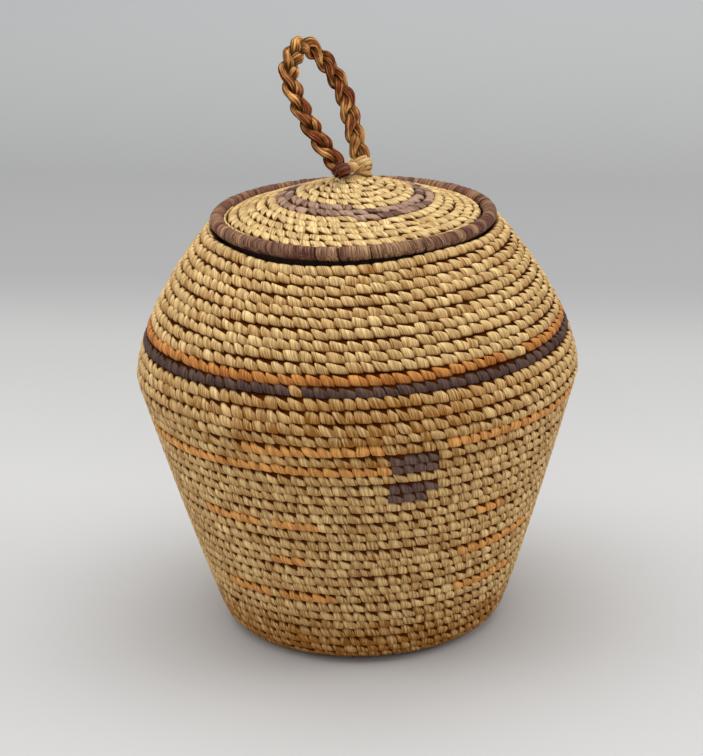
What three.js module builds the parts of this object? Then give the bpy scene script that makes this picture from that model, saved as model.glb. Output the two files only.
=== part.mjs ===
// Lidded coiled grass basket with a braided loop handle on its lid
import * as THREE from 'three';

// Driving dimensions in millimetres; Z is up and the basket stands on Z = 0
const BASE_RADIUS = 59;
const BELLY_RADIUS = 94.4;
const BELLY_HEIGHT = 113;
const MOUTH_RADIUS = 61.3;
const MOUTH_HEIGHT = 176.9;
const FLANK_POWER = 0.9; // below the belly: close to straight
const SHOULDER_POWER = 1.6; // above the belly: rounded
const CORNER = 9; // rounding where the base turns up into the wall

// The coil: rows of bundled grass sewn to one another
const ROW_PITCH = 4.71;
const BELLY_PITCH = 5.16; // the rows at the belly are a little taller
const COIL_THICKNESS = 4.6;
const GROOVE_DEPTH = 1.1; // between one row and the next
const TURN_STEPS = 24;
const CLEARANCE = 0.3; // between pieces that touch in the real basket
const START_RADIUS = 4; // of the tight start in the middle of a coil
const LAST_SLIVER = 0.2; // width, in rows, at which a tapering coil end stops
const END_GAP_TURNS = 0.0015; // left open between the cut ends of two stretches, in turns
const TANGENT_REACH = 0.4; // each way along a line, for its direction at a point

// Rows counted down from the mouth, each given by the row where it ends below
const MOUTH_ROWS = 1;
const SHOULDER_ROWS = 10;
const ORANGE_ROW = 11;
const PURPLE_ROW = 12;
const BELLY_ROWS = 16;
const UPPER_DASHED_ROW = 17;
const SPACER_ROW = 18;
const LOWER_DASHED_ROW = 19;
const UPPER_FLANK_ROWS = 25; // the last row of each flank stretch carries short orange dashes
const MIDDLE_FLANK_ROWS = 29;
const LOWER_FLANK_ROWS = 33;
const WALL_ROWS = 40;

// The lid
const RIM_RADIUS = 57.4; // to the middle of the rim coil
const RIM_THICKNESS = 5.9;
const LID_RISE = 16.97;
const LID_POWER = 1.15; // a shallow cone, slightly rounded
const LID_PITCH = 4.3;
const LID_THICKNESS = 4.2;
const LID_OUTER_ROWS = 5;
const LID_PURPLE_ROWS = 7; // counted in from the rim, so two rows wide
const COLLAR_ROWS = 2;
const COLLAR_THICKNESS = 4.4;
const COLLAR_MOUTH_GAP = 2.5; // loose, so that the lid drops in

// The handle
const LOOP_HEIGHT = 55.6; // of the braid's middle line above its feet
const LOOP_HALF_WIDTH = 13;
const FRONT_LIMB = [[0.91, 0.3], [1.09, 0.56], [0.97, 0.82]]; // shares of that width and height, up a limb
const BACK_LIMB = [[0.75, 0.3], [0.94, 0.56], [0.76, 0.82]];
const LOOP_TOP = [0.08, 1];
const FOOT_HALF_SPACING = 6.4;
const LOOP_YAW = THREE.MathUtils.degToRad(45);
const LOOP_LEAN = THREE.MathUtils.degToRad(30);
const FOOT_RADIUS = 4;
const STRAND_HALF_WIDTH = 1.55;
const STRAND_HALF_DEPTH = 1.4;
const BRAID_SWAY = 3.3; // of a strand's middle across the braid
const BRAID_DEPTH = 2.05; // of a strand's middle through the braid
const BRAID_CYCLES = 4;
const STRAND_STEPS = 54;
const STRAND_SIDES = 6;

// A line of points in (radius, height), measured along its length
function measuredLine(points) {
  const lengths = [0];
  for (let i = 1; i < points.length; i += 1) {
    lengths.push(lengths[i - 1] + points[i].distanceTo(points[i - 1]));
  }
  return { points, lengths, total: lengths[lengths.length - 1] };
}

function linePoint(line, distance) {
  let i = 0;
  while (i < line.points.length - 2 && line.lengths[i + 1] < distance) {
    i += 1;
  }
  const fraction = (distance - line.lengths[i]) / (line.lengths[i + 1] - line.lengths[i]);
  return line.points[i].clone().lerp(line.points[i + 1], fraction);
}

// A point of a line and its direction there, taken over a short stretch so that it turns smoothly
function lineAt(line, distance) {
  const before = linePoint(line, distance - TANGENT_REACH);
  const after = linePoint(line, distance + TANGENT_REACH);
  return { point: linePoint(line, distance), tangent: after.sub(before).normalize() };
}

function wallRadius(height) {
  if (height < BELLY_HEIGHT) {
    return BASE_RADIUS + (BELLY_RADIUS - BASE_RADIUS) * (height / BELLY_HEIGHT) ** FLANK_POWER;
  }
  const share = (height - BELLY_HEIGHT) / (MOUTH_HEIGHT - BELLY_HEIGHT);
  return BELLY_RADIUS - (BELLY_RADIUS - MOUTH_RADIUS) * share ** SHOULDER_POWER;
}

// Outer line of the basket from the middle of the base to the edge of the mouth
function basketLine() {
  const floorEnd = new THREE.Vector2(BASE_RADIUS - CORNER, 0);
  const wallStart = new THREE.Vector2(wallRadius(CORNER), CORNER);
  const cornerCurve = new THREE.QuadraticBezierCurve(floorEnd, new THREE.Vector2(BASE_RADIUS, 0), wallStart);
  const points = [new THREE.Vector2(0, 0), ...cornerCurve.getPoints(40)];
  const wallPoints = 120;
  for (let i = 1; i <= wallPoints; i += 1) {
    const height = CORNER + (MOUTH_HEIGHT - CORNER) * i / wallPoints;
    points.push(new THREE.Vector2(wallRadius(height), height));
  }
  return measuredLine(points);
}

// The basket's coil runs out anticlockwise, seen from above, and ends at the back; the lid's runs out clockwise
const basket = { line: basketLine(), thickness: COIL_THICKNESS, inward: 1, pitch: ROW_PITCH };
basket.angleAt = (row) => Math.PI / 2 - 2 * Math.PI * row;
basket.distanceAt = (row) => {
  const bellyShare = THREE.MathUtils.clamp(row - PURPLE_ROW, 0, UPPER_DASHED_ROW - PURPLE_ROW);
  return basket.line.total - ROW_PITCH * (row - bellyShare) - BELLY_PITCH * bellyShare;
};

// The mouth edge faces inwards along the wall's own normal, and the lid's rim nests on it
const mouthEdge = lineAt(basket.line, basket.line.total);
const mouthNormal = new THREE.Vector2(-mouthEdge.tangent.y, mouthEdge.tangent.x);
const mouthInside = mouthEdge.point.clone().addScaledVector(mouthNormal, COIL_THICKNESS);
const rimSeat = RIM_THICKNESS / 2 + CLEARANCE;
const rimReach = (RIM_RADIUS - mouthEdge.point.x - rimSeat * mouthEdge.tangent.x) / mouthNormal.x;
const rimHeight = mouthEdge.point.y + rimReach * mouthNormal.y + rimSeat * mouthEdge.tangent.y;

// Upper line of the lid from its middle to the inside of the rim
const lidEdgeRadius = RIM_RADIUS - RIM_THICKNESS / 2 - CLEARANCE;
const lidEdgeHeight = rimHeight + RIM_THICKNESS / 4;

function lidHeight(radius) {
  return lidEdgeHeight + LID_RISE * (1 - (radius / lidEdgeRadius) ** LID_POWER);
}

function lidLine() {
  const points = [];
  const lidPoints = 40;
  for (let i = 0; i <= lidPoints; i += 1) {
    const radius = lidEdgeRadius * i / lidPoints;
    points.push(new THREE.Vector2(radius, lidHeight(radius)));
  }
  return measuredLine(points);
}

const lid = { line: lidLine(), thickness: LID_THICKNESS, inward: -1, pitch: LID_PITCH };
lid.angleAt = (row) => 2 * Math.PI * row - Math.PI / 2;
lid.distanceAt = (row) => lid.line.total - LID_PITCH * row;

// Distance along a coil's line at a row, kept between the coil's start and its outer edge
function keptDistance(coil, row) {
  return Math.max(coil.distanceAt(Math.max(row, 0)), START_RADIUS);
}

// A point of a coil at a distance along its line, an angle around Z and a depth under its face
function coilPoint(coil, distance, angle, depth) {
  const { point, tangent } = lineAt(coil.line, distance);
  const radius = point.x - coil.inward * tangent.y * depth;
  const height = point.y + coil.inward * tangent.x * depth;
  return new THREE.Vector3(radius * Math.cos(angle), radius * Math.sin(angle), height);
}

// Row at which a coil leaves its tight start, as wide there as the last sliver
function startRow(coil) {
  const rowAtStart = WALL_ROWS + (coil.distanceAt(WALL_ROWS) - START_RADIUS) / coil.pitch;
  return Math.round(TURN_STEPS * (rowAtStart + 0.5 - LAST_SLIVER)) / TURN_STEPS;
}

function solidGeometry(points, triangles) {
  let volume = 0;
  for (const [a, b, c] of triangles) {
    volume += points[a].dot(points[b].clone().cross(points[c]));
  }
  const outward = volume > 0 ? triangles : triangles.map(([a, b, c]) => [a, c, b]);
  const geometry = new THREE.BufferGeometry();
  geometry.setAttribute('position', new THREE.Float32BufferAttribute(points.flatMap((p) => p.toArray()), 3));
  geometry.setIndex(outward.flat());
  geometry.computeVertexNormals();
  return geometry;
}

// One stretch of a coil, from the row where it starts below to the row where it ends above.
// Neighbouring turns share their groove; the stretch's own edges keep a clearance from the next
// stretch, and order turns each stretch a little further so that the cut ends stay apart too.
// The face that shows has a ridge on every row, and the other face is plain.
function coilStretch(coil, fromRow, toRow, order, ridgedInside = false) {
  const turns = fromRow - toRow;
  const several = turns > 1;
  const steps = Math.round(turns * TURN_STEPS);
  const stepTurn = several ? 1 / TURN_STEPS : (turns - END_GAP_TURNS) / steps;
  const edgeSteps = Math.min(steps, TURN_STEPS);
  const edgeShift = CLEARANCE / 2 / coil.pitch;
  const plainDepth = ridgedInside ? 0 : coil.thickness;
  const grooveDepth = ridgedInside ? coil.thickness - GROOVE_DEPTH : GROOVE_DEPTH;
  const ridgeRise = ridgedInside ? GROOVE_DEPTH : -GROOVE_DEPTH;
  const points = [];
  const add = (point) => points.push(point) - 1;
  const lower = [];
  const upper = [];
  const ridge = [];
  const angles = [];
  const lowerRows = [];
  const upperRows = [];
  const edgePair = (row, angle) => {
    const distance = keptDistance(coil, row);
    return [add(coilPoint(coil, distance, angle, grooveDepth)), add(coilPoint(coil, distance, angle, plainDepth))];
  };
  for (let i = 0; i <= steps; i += 1) {
    const row = fromRow - order * END_GAP_TURNS - i * stepTurn;
    const angle = coil.angleAt(row);
    angles.push(angle);
    lowerRows.push(row + 0.5 - (several && i >= TURN_STEPS ? 0 : edgeShift));
    upperRows.push(row - 0.5 + (several && i + TURN_STEPS <= steps ? 0 : edgeShift));
    lower.push(edgePair(lowerRows[i], angle));
  }
  for (let i = 0; i <= steps; i += 1) {
    const shared = several && i + TURN_STEPS <= steps;
    upper.push(shared ? lower[i + TURN_STEPS] : edgePair(upperRows[i], angles[i]));
    const below = keptDistance(coil, lowerRows[i]);
    const above = keptDistance(coil, upperRows[i]);
    const fullness = Math.min(1, (above - below) / coil.pitch);
    const depth = grooveDepth + ridgeRise * fullness;
    ridge.push(add(coilPoint(coil, (below + above) / 2, angles[i], depth)));
  }
  const triangles = [];
  const quad = (a, b, c, d) => triangles.push([a, b, c], [a, c, d]);
  // Every edge face is split from its outer near corner to its inner far one, so that the edges
  // of two stretches lie flat against each other
  const edgeQuad = (near, far, facesDown) => {
    const corners = [near[0], far[0], far[1], near[1]];
    const [a, b, c, d] = ridgedInside ? [corners[3], corners[0], corners[1], corners[2]] : corners;
    triangles.push(...(facesDown ? [[a, c, b], [a, d, c]] : [[a, b, c], [a, c, d]]));
  };
  for (let i = 0; i < steps; i += 1) {
    quad(lower[i][0], lower[i + 1][0], ridge[i + 1], ridge[i]);
    quad(ridge[i], ridge[i + 1], upper[i + 1][0], upper[i][0]);
    quad(upper[i][1], upper[i + 1][1], lower[i + 1][1], lower[i][1]);
    if (i < edgeSteps) {
      edgeQuad(lower[i], lower[i + 1], true);
    }
    if (i >= steps - edgeSteps) {
      edgeQuad(upper[i], upper[i + 1], false);
    }
  }
  triangles.push([lower[0][1], lower[0][0], ridge[0]]);
  triangles.push([lower[0][1], ridge[0], upper[0][0]]);
  triangles.push([lower[0][1], upper[0][0], upper[0][1]]);
  triangles.push([ridge[steps], lower[steps][0], lower[steps][1]]);
  triangles.push([upper[steps][0], ridge[steps], lower[steps][1]]);
  triangles.push([upper[steps][1], upper[steps][0], lower[steps][1]]);
  return solidGeometry(points, triangles);
}

// A turned shape from points in (radius, height), open or closed on itself, with its axis on Z
function turned(points, segments) {
  const geometry = new THREE.LatheGeometry(points.map(([r, z]) => new THREE.Vector2(r, z)), segments);
  return geometry.rotateX(Math.PI / 2);
}

// The tight start in the middle of a coil: a plug with the coil's own slope on its side
function startKnot(coil) {
  const outer = coilPoint(coil, START_RADIUS - CLEARANCE, 0, 0);
  const inner = coilPoint(coil, START_RADIUS - CLEARANCE, 0, coil.thickness);
  const [low, high] = outer.z < inner.z ? [outer, inner] : [inner, outer];
  return turned([[0, low.z], [low.x, low.z], [high.x, high.z], [0, high.z]], 12);
}

function lidRim() {
  const sides = 8;
  const section = [];
  for (let i = 0; i <= sides; i += 1) {
    const angle = 2 * Math.PI * i / sides;
    const reach = RIM_THICKNESS / 2;
    section.push([RIM_RADIUS + reach * Math.cos(angle), rimHeight + reach * Math.sin(angle)]);
  }
  return turned(section, 40);
}

// The ring under the lid that drops into the mouth: two more rows of coil
function lidCollar() {
  const outside = mouthInside.x - COLLAR_MOUTH_GAP;
  const inside = outside - COLLAR_THICKNESS;
  const top = rimHeight - RIM_THICKNESS / 2 + CLEARANCE;
  const section = [[inside, top], [outside - GROOVE_DEPTH, top]];
  for (let i = 0; i < COLLAR_ROWS; i += 1) {
    const rowTop = top - i * ROW_PITCH;
    section.push([outside, rowTop - ROW_PITCH / 2], [outside - GROOVE_DEPTH, rowTop - ROW_PITCH]);
  }
  section.push([inside, top - COLLAR_ROWS * ROW_PITCH], [inside, top]);
  return turned(section.reverse(), 24);
}

// The loop stands on the line through its two feet and leans to one side of it
const footLine = new THREE.Vector3(Math.cos(LOOP_YAW), Math.sin(LOOP_YAW), 0);
const leanSide = new THREE.Vector3(-Math.sin(LOOP_YAW), Math.cos(LOOP_YAW), 0);
const loopUp = new THREE.Vector3(0, 0, Math.cos(LOOP_LEAN)).addScaledVector(leanSide, Math.sin(LOOP_LEAN));
const loopFacing = footLine.clone().cross(loopUp);
const lidSlope = lidHeight(FOOT_HALF_SPACING - 0.5) - lidHeight(FOOT_HALF_SPACING + 0.5);
const footDrop = (FOOT_RADIUS + CLEARANCE) * Math.hypot(1, lidSlope);
const hingeHeight = lidHeight(FOOT_HALF_SPACING) + footDrop;

function loopPoint(across, up) {
  return new THREE.Vector3(0, 0, hingeHeight).addScaledVector(footLine, across).addScaledVector(loopUp, up);
}

// Middle line of the braid: it widens from the feet and closes in a round top
function loopCurve() {
  const mark = (side, [across, up]) => loopPoint(side * LOOP_HALF_WIDTH * across, LOOP_HEIGHT * up);
  const front = FRONT_LIMB.map((shares) => mark(-1, shares));
  const back = BACK_LIMB.map((shares) => mark(1, shares)).reverse();
  const feet = [-1, 1].map((side) => loopPoint(side * FOOT_HALF_SPACING, 0));
  return new THREE.CatmullRomCurve3([feet[0], ...front, mark(1, LOOP_TOP), ...back, feet[1]]);
}

const loop = loopCurve();
loop.arcLengthDivisions = 400;
const loopLength = loop.getLength();
const footShare = (FOOT_RADIUS + STRAND_HALF_WIDTH / 2 + CLEARANCE) / loopLength;

// Middle of one strand: it sways across the braid once while it passes through twice
function strandMiddle(index, share) {
  const along = footShare + share * (1 - 2 * footShare);
  const phase = 2 * Math.PI * (BRAID_CYCLES * share + index / 3);
  const tangent = loop.getTangentAt(along);
  const across = loopFacing.clone().cross(tangent);
  return loop.getPointAt(along)
    .addScaledVector(across, BRAID_SWAY * Math.sin(phase))
    .addScaledVector(loopFacing, BRAID_DEPTH * Math.sin(2 * phase));
}

function strandRings(index) {
  const middles = [];
  for (let i = 0; i <= STRAND_STEPS; i += 1) {
    middles.push(strandMiddle(index, i / STRAND_STEPS));
  }
  return middles.map((middle, i) => {
    const before = middles[Math.max(i - 1, 0)];
    const after = middles[Math.min(i + 1, STRAND_STEPS)];
    const tangent = after.clone().sub(before).normalize();
    const across = loopFacing.clone().cross(tangent).normalize();
    const through = tangent.clone().cross(across);
    const ring = [];
    for (let k = 0; k < STRAND_SIDES; k += 1) {
      const angle = 2 * Math.PI * k / STRAND_SIDES;
      ring.push(middle.clone()
        .addScaledVector(across, STRAND_HALF_WIDTH * Math.cos(angle))
        .addScaledVector(through, STRAND_HALF_DEPTH * Math.sin(angle)));
    }
    return ring;
  });
}

function strandSolid(rings) {
  const triangles = [];
  const last = (rings.length - 1) * STRAND_SIDES;
  for (let i = 0; i < rings.length - 1; i += 1) {
    for (let k = 0; k < STRAND_SIDES; k += 1) {
      const next = (k + 1) % STRAND_SIDES;
      const a = i * STRAND_SIDES + k;
      const b = i * STRAND_SIDES + next;
      triangles.push([a, b, b + STRAND_SIDES], [a, b + STRAND_SIDES, a + STRAND_SIDES]);
    }
  }
  for (let k = 1; k < STRAND_SIDES - 1; k += 1) {
    triangles.push([0, k + 1, k], [last, last + k, last + k + 1]);
  }
  return solidGeometry(rings.flat(), triangles);
}

const strands = [0, 1, 2].map(strandRings);

// Least distance between the outside points of two strands of the braid
function leastStrandGap() {
  let least = Infinity;
  for (const [first, second] of [[0, 1], [1, 2], [2, 0]]) {
    for (const a of strands[first].flat()) {
      for (const b of strands[second].flat()) {
        least = Math.min(least, a.distanceTo(b));
      }
    }
  }
  return least;
}

// The round lump of lashing at a foot of the loop, centred on the line the loop leans about
function footLump(side) {
  const geometry = new THREE.SphereGeometry(FOOT_RADIUS, 12, 6);
  const middle = loopPoint(side * FOOT_HALF_SPACING, 0);
  return geometry.translate(middle.x, middle.y, middle.z);
}

// Materials: plain straw, and grass dyed orange or purple
const grass = (color) => new THREE.MeshStandardMaterial({ color, roughness: 0.75, metalness: 0 });
const straw = () => grass('#c8a36a');
const orange = () => grass('#b0702f');
const purple = () => grass('#5d463a');
const braidGrass = () => new THREE.MeshStandardMaterial({ color: '#a8652c', roughness: 0.55, metalness: 0 });

const group = new THREE.Group();
function piece(name, geometry, material) {
  const mesh = new THREE.Mesh(geometry, material);
  mesh.name = name;
  group.add(mesh);
}

// The basket, from the middle of the base to the mouth
piece('base_start_knot', startKnot(basket), straw());
piece('base_coil', coilStretch(basket, startRow(basket), WALL_ROWS, 0, true), straw());
piece('foot_coil', coilStretch(basket, WALL_ROWS, LOWER_FLANK_ROWS, 1), straw());
piece('lower_flank_coil', coilStretch(basket, LOWER_FLANK_ROWS, MIDDLE_FLANK_ROWS, 2), straw());
piece('middle_flank_coil', coilStretch(basket, MIDDLE_FLANK_ROWS, UPPER_FLANK_ROWS, 3), straw());
piece('upper_flank_coil', coilStretch(basket, UPPER_FLANK_ROWS, LOWER_DASHED_ROW, 4), straw());
piece('lower_dashed_coil', coilStretch(basket, LOWER_DASHED_ROW, SPACER_ROW, 5), orange());
piece('spacer_coil', coilStretch(basket, SPACER_ROW, UPPER_DASHED_ROW, 6), straw());
piece('upper_dashed_coil', coilStretch(basket, UPPER_DASHED_ROW, BELLY_ROWS, 7), orange());
piece('belly_coil', coilStretch(basket, BELLY_ROWS, PURPLE_ROW, 8), straw());
piece('purple_coil', coilStretch(basket, PURPLE_ROW, ORANGE_ROW, 9), purple());
piece('orange_coil', coilStretch(basket, ORANGE_ROW, SHOULDER_ROWS, 10), orange());
piece('shoulder_coil', coilStretch(basket, SHOULDER_ROWS, MOUTH_ROWS, 11), straw());
piece('mouth_coil', coilStretch(basket, MOUTH_ROWS, LAST_SLIVER - 0.5, 12), straw());

// The lid, from its middle to its rim
piece('lid_start_knot', startKnot(lid), straw());
piece('lid_centre_coil', coilStretch(lid, startRow(lid), LID_PURPLE_ROWS, 0), straw());
piece('lid_purple_coil', coilStretch(lid, LID_PURPLE_ROWS, LID_OUTER_ROWS, 1), purple());
piece('lid_outer_coil', coilStretch(lid, LID_OUTER_ROWS, LAST_SLIVER - 0.5, 2), straw());
piece('lid_rim', lidRim(), purple());
piece('lid_collar', lidCollar(), straw());

// The handle
strands.forEach((rings, i) => piece(`braid_strand_${i + 1}`, strandSolid(rings), braidGrass()));
piece('handle_front_knot', footLump(-1), braidGrass());
piece('handle_back_lashing', footLump(1), straw());

console.log(`least gap between braid strands ${leastStrandGap().toFixed(2)} mm`);
console.log(`hinge height ${hingeHeight.toFixed(2)} mm, rim height ${rimHeight.toFixed(2)} mm`);

export default group;
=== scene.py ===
"""Looks of a lidded coiled grass basket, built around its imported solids.

Lengths are millimetres until a mesh is made, which is in metres. A coil is followed by its turn, counted
from its outer end, so that one turn is one row: the wall counts down from the mouth, the lid in from its rim.
Azimuths are degrees from the front, positive to the viewer's right.
"""

import bpy
import numpy as np
from mathutils import Matrix


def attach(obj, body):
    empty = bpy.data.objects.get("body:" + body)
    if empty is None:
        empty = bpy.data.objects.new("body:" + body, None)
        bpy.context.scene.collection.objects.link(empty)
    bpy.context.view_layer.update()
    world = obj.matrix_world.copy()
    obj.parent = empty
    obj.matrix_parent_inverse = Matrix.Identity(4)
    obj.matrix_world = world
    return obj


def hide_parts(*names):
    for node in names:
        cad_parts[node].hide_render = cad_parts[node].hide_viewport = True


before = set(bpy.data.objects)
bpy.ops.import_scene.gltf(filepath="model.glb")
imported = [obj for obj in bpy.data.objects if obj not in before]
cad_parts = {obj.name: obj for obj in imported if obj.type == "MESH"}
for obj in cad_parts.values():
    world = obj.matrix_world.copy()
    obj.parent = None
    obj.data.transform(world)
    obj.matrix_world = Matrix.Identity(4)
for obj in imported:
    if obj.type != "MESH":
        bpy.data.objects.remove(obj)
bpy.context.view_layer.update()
MM = 0.001
chance = np.random.default_rng(11)

# Sizes of the solids. The rim and the lid's edge stand 1 mm higher than theirs, as in the photograph, and the
# collar 1.6 mm higher, so that it meets them
BASE_RADIUS = 59.0
BELLY_RADIUS = 94.4
BELLY_HEIGHT = 113.0
MOUTH_RADIUS = 61.3
MOUTH_HEIGHT = 176.9
FLANK_POWER = 0.9
SHOULDER_POWER = 1.6
CORNER = 9.0
ROW_PITCH = 4.71
BELLY_PITCH = 5.16
TALL_ROWS = (12, 17)
COIL_THICKNESS = 4.6
RIM_RADIUS = 57.4
RIM_HEIGHT = 178.9
RIM_THICKNESS = 5.9
LID_EDGE_RADIUS = 54.3
LID_EDGE_HEIGHT = 179.82
LID_RISE = 16.49
LID_POWER = 1.15
LID_PITCH = 4.3
LID_THICKNESS = 4.2
COLLAR_RADIUS = 55.2
COLLAR_LOW = 167.24
COLLAR_HIGH = 176.66
COLLAR_THICKNESS = 4.4
HINGE_HEIGHT = 199.33
LOOP_HEIGHT = 55.6
LOOP_HALF_WIDTH = 13.0
FRONT_LIMB = [(0.91, 0.3), (1.09, 0.56), (0.97, 0.82)]
BACK_LIMB = [(0.75, 0.3), (0.94, 0.56), (0.76, 0.82)]
LOOP_TOP = (0.08, 1)
FOOT_HALF_SPACING = 6.4
LOOP_YAW = np.radians(45)
LOOP_LEAN = np.radians(30)
START_RADIUS = 4.0
# The front left of the mouth has sunk a little with age, and the lid's edge less, which leaves a gap
MOUTH_SUNK = 2.4
MOUTH_SUNK_OVER = 60
LID_SUNK = 1.1
SUNK_AZIMUTH = -18
SUNK_SPREAD = 34
# A coil's line runs on past its end by this many mm. The coil starts a part of a turn under its tight middle,
# no closer to the axis than a share of that middle's radius, and tapers out over a part of a turn
RUN_ON = 4
START_TAPER = 0.3
LEAST_DISTANCE = START_RADIUS * 0.9
OUTER_TAPER = 0.3
COLLAR_ROWS = 2
# The sections that close a tube's ends, as a share of its size
CAP_SIZE = 0.02
# Each strand has a number of its own below this one, which shifts its fibres
OWN_NUMBERS = 90


# Lines of the basket and the coils wound along them

def wall_radius(height):
    """Outer radius of the wall: a power curve out to the belly, and a rounder one in again to the mouth."""
    rise = np.clip(height / BELLY_HEIGHT, 0, 1) ** FLANK_POWER
    fall = np.clip((height - BELLY_HEIGHT) / (MOUTH_HEIGHT - BELLY_HEIGHT), 0, 1) ** SHOULDER_POWER
    return BASE_RADIUS + (BELLY_RADIUS - BASE_RADIUS) * rise - (BELLY_RADIUS - MOUTH_RADIUS) * fall


def make_coil(radius, height, thickness, inward, pitch, **others):
    """A coil along a line in (radius, height), with its running length, run on straight past its end.

    Inward is 1 where the face is on the line's right hand, seen along it, and -1 where it is on its left.
    Hand is 1 where the coil runs out anticlockwise, seen from above, and -1 where it runs out clockwise, to
    its end angle. It has sunk by an amount at its outer end, and less over a length before it.
    """
    end = np.array([radius[-1] - radius[-2], height[-1] - height[-2]])
    end *= RUN_ON / np.hypot(*end)
    radius = np.append(radius, radius[-1] + end[0])
    height = np.append(height, height[-1] + end[1])
    length = np.concatenate([[0], np.cumsum(np.hypot(np.diff(radius), np.diff(height)))])
    return {"radius": radius, "height": height, "length": length, "total": length[-2], "thickness": thickness,
            "inward": inward, "pitch": pitch, "last_row": np.inf, "tall_rows": (0, 0), "hand": 1,
            "end_angle": np.pi / 2, "sunk": 0, "sunk_over": 1, **others}


def basket_coil():
    """The basket's outer line: flat floor, a quadratic curve round the foot's corner, then the wall."""
    share = np.linspace(0, 1, 41)[1:]
    floor_end = BASE_RADIUS - CORNER
    floor_radius = np.linspace(0, floor_end, 26)
    corner_radius = ((1 - share) ** 2 * floor_end + 2 * share * (1 - share) * BASE_RADIUS
                     + share ** 2 * wall_radius(CORNER))
    wall_height = np.linspace(CORNER, MOUTH_HEIGHT, 121)[1:]
    radius = np.concatenate([floor_radius, corner_radius, wall_radius(wall_height)])
    height = np.concatenate([np.zeros(26), share ** 2 * CORNER, wall_height])
    return make_coil(radius, height, COIL_THICKNESS, 1, ROW_PITCH, tall_rows=TALL_ROWS, sunk=MOUTH_SUNK,
                     sunk_over=MOUTH_SUNK_OVER)


def lid_height(radius):
    """Height of the lid's upper face: a shallow cone, slightly rounded by a power of the radius."""
    return LID_EDGE_HEIGHT + LID_RISE * (1 - (radius / LID_EDGE_RADIUS) ** LID_POWER)


def lid_coil():
    """The lid's upper line, from its middle to the inside of the rim, wound clockwise to end in front."""
    radius = np.linspace(0, LID_EDGE_RADIUS, 41)
    return make_coil(radius, lid_height(radius), LID_THICKNESS, -1, LID_PITCH, hand=-1, end_angle=-np.pi / 2,
                     sunk=LID_SUNK, sunk_over=LID_EDGE_RADIUS)


def collar_coil():
    """The outer line of the ring under the lid: straight up, two rows tall."""
    radius = np.full(2, COLLAR_RADIUS)
    height = np.array([COLLAR_LOW, COLLAR_HIGH])
    return make_coil(radius, height, COLLAR_THICKNESS, 1, ROW_PITCH, last_row=COLLAR_ROWS)


basket = basket_coil()
lid = lid_coil()
collar = collar_coil()


def coil_distance(coil, row):
    """Distance along a coil's line at a row: its outer end less one pitch a row; the belly's are taller."""
    first, last = coil["tall_rows"]
    kept = np.clip(row, 0, coil["last_row"])
    tall = np.clip(kept - first, 0, last - first)
    distance = coil["total"] - coil["pitch"] * (kept - tall) - BELLY_PITCH * tall
    return np.maximum(distance, LEAST_DISTANCE)


def line_radius(coil, distance):
    """Radius of a coil's line at a distance along it."""
    return np.interp(distance, coil["length"], coil["radius"])


def azimuth_of(angle):
    """Degrees from the front, from -180 to 180, at an angle round Z."""
    return np.mod(np.degrees(angle) + 270, 360) - 180


def sunken(angle):
    """Share of the sinking at an angle round Z: a bell curve about the front left."""
    return np.exp(-((azimuth_of(angle) - SUNK_AZIMUTH) / SUNK_SPREAD) ** 2)


def coil_point(coil, distance, angle, depth):
    """A point from its distance along the coil's line, its angle round Z and its depth under the face.

    The depth is along the line's normal. The point drops by its share of the sinking, which grows with the
    square of the distance.
    """
    reach = 0.8
    radius = line_radius(coil, distance)
    height = np.interp(distance, coil["length"], coil["height"])
    run = line_radius(coil, distance + reach) - line_radius(coil, distance - reach)
    climb = (np.interp(distance + reach, coil["length"], coil["height"])
             - np.interp(distance - reach, coil["length"], coil["height"]))
    slope = np.hypot(run, climb)
    radius = radius - coil["inward"] * climb / slope * depth
    height = height + coil["inward"] * run / slope * depth
    share = np.clip((distance - coil["total"]) / coil["sunk_over"] + 1, 0, 1)
    height = height - coil["sunk"] * share ** 2 * sunken(angle)
    return np.stack([radius * np.cos(angle), radius * np.sin(angle), height], axis=-1)


def turn_angle(coil, turn):
    """Angle round Z at a turn, counted back from the coil's outer end."""
    return coil["end_angle"] - coil["hand"] * 2 * np.pi * turn


def start_turn(coil, rows_before):
    """Turn at which a coil leaves its tight start."""
    return rows_before + (coil_distance(coil, rows_before) - START_RADIUS) / coil["pitch"] + START_TAPER


# Meshes from grids

def grid_quads(rows, columns, around=False):
    """Corners of the quads of a grid, row by row; around joins the last column to the first."""
    wide = columns if around else columns - 1
    row, column = np.meshgrid(np.arange(rows - 1), np.arange(wide), indexing="ij")
    following = (column + 1) % columns
    corners = [row * columns + column, row * columns + following,
               (row + 1) * columns + following, (row + 1) * columns + column]
    return np.stack(corners, axis=-1).reshape(-1, 4)


def grid_part(points, strand, tone, shade, material, around=False, flip=False):
    """Many equal grids as one part: points and attributes have the shape (grid, row, column)."""
    count, rows, columns = points.shape[:3]
    quads = grid_quads(rows, columns, around)
    if flip:
        quads = quads[:, ::-1]
    faces = (quads[None] + (np.arange(count) * rows * columns)[:, None, None]).reshape(-1, 4)
    shape = points.shape[:3]
    return {"points": points.reshape(-1, 3), "strand": strand.reshape(-1, 3), "faces": faces,
            "tone": np.broadcast_to(tone, shape).reshape(-1),
            "shade": np.broadcast_to(shade, shape).reshape(-1),
            "material": np.repeat(np.broadcast_to(material, (count,)), len(quads))}


def tube_part(points, strand, tone, shade, material, flip=False):
    """One grid that closes round itself, as a part."""
    return grid_part(points[None], strand[None], tone, shade, material, around=True, flip=flip)


def strand_map(across, along, own, shape):
    """The attribute strand of a grid: millimetres across and along the strand, and its own number."""
    return np.stack([np.broadcast_to(value, shape) for value in (across, along, own)], axis=-1)


def capped(shape):
    """Sizes of the sections along a tube: full, but for the first and the last, which close its ends."""
    size = np.ones(shape)
    size[[0, -1]] = CAP_SIZE
    return size


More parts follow.
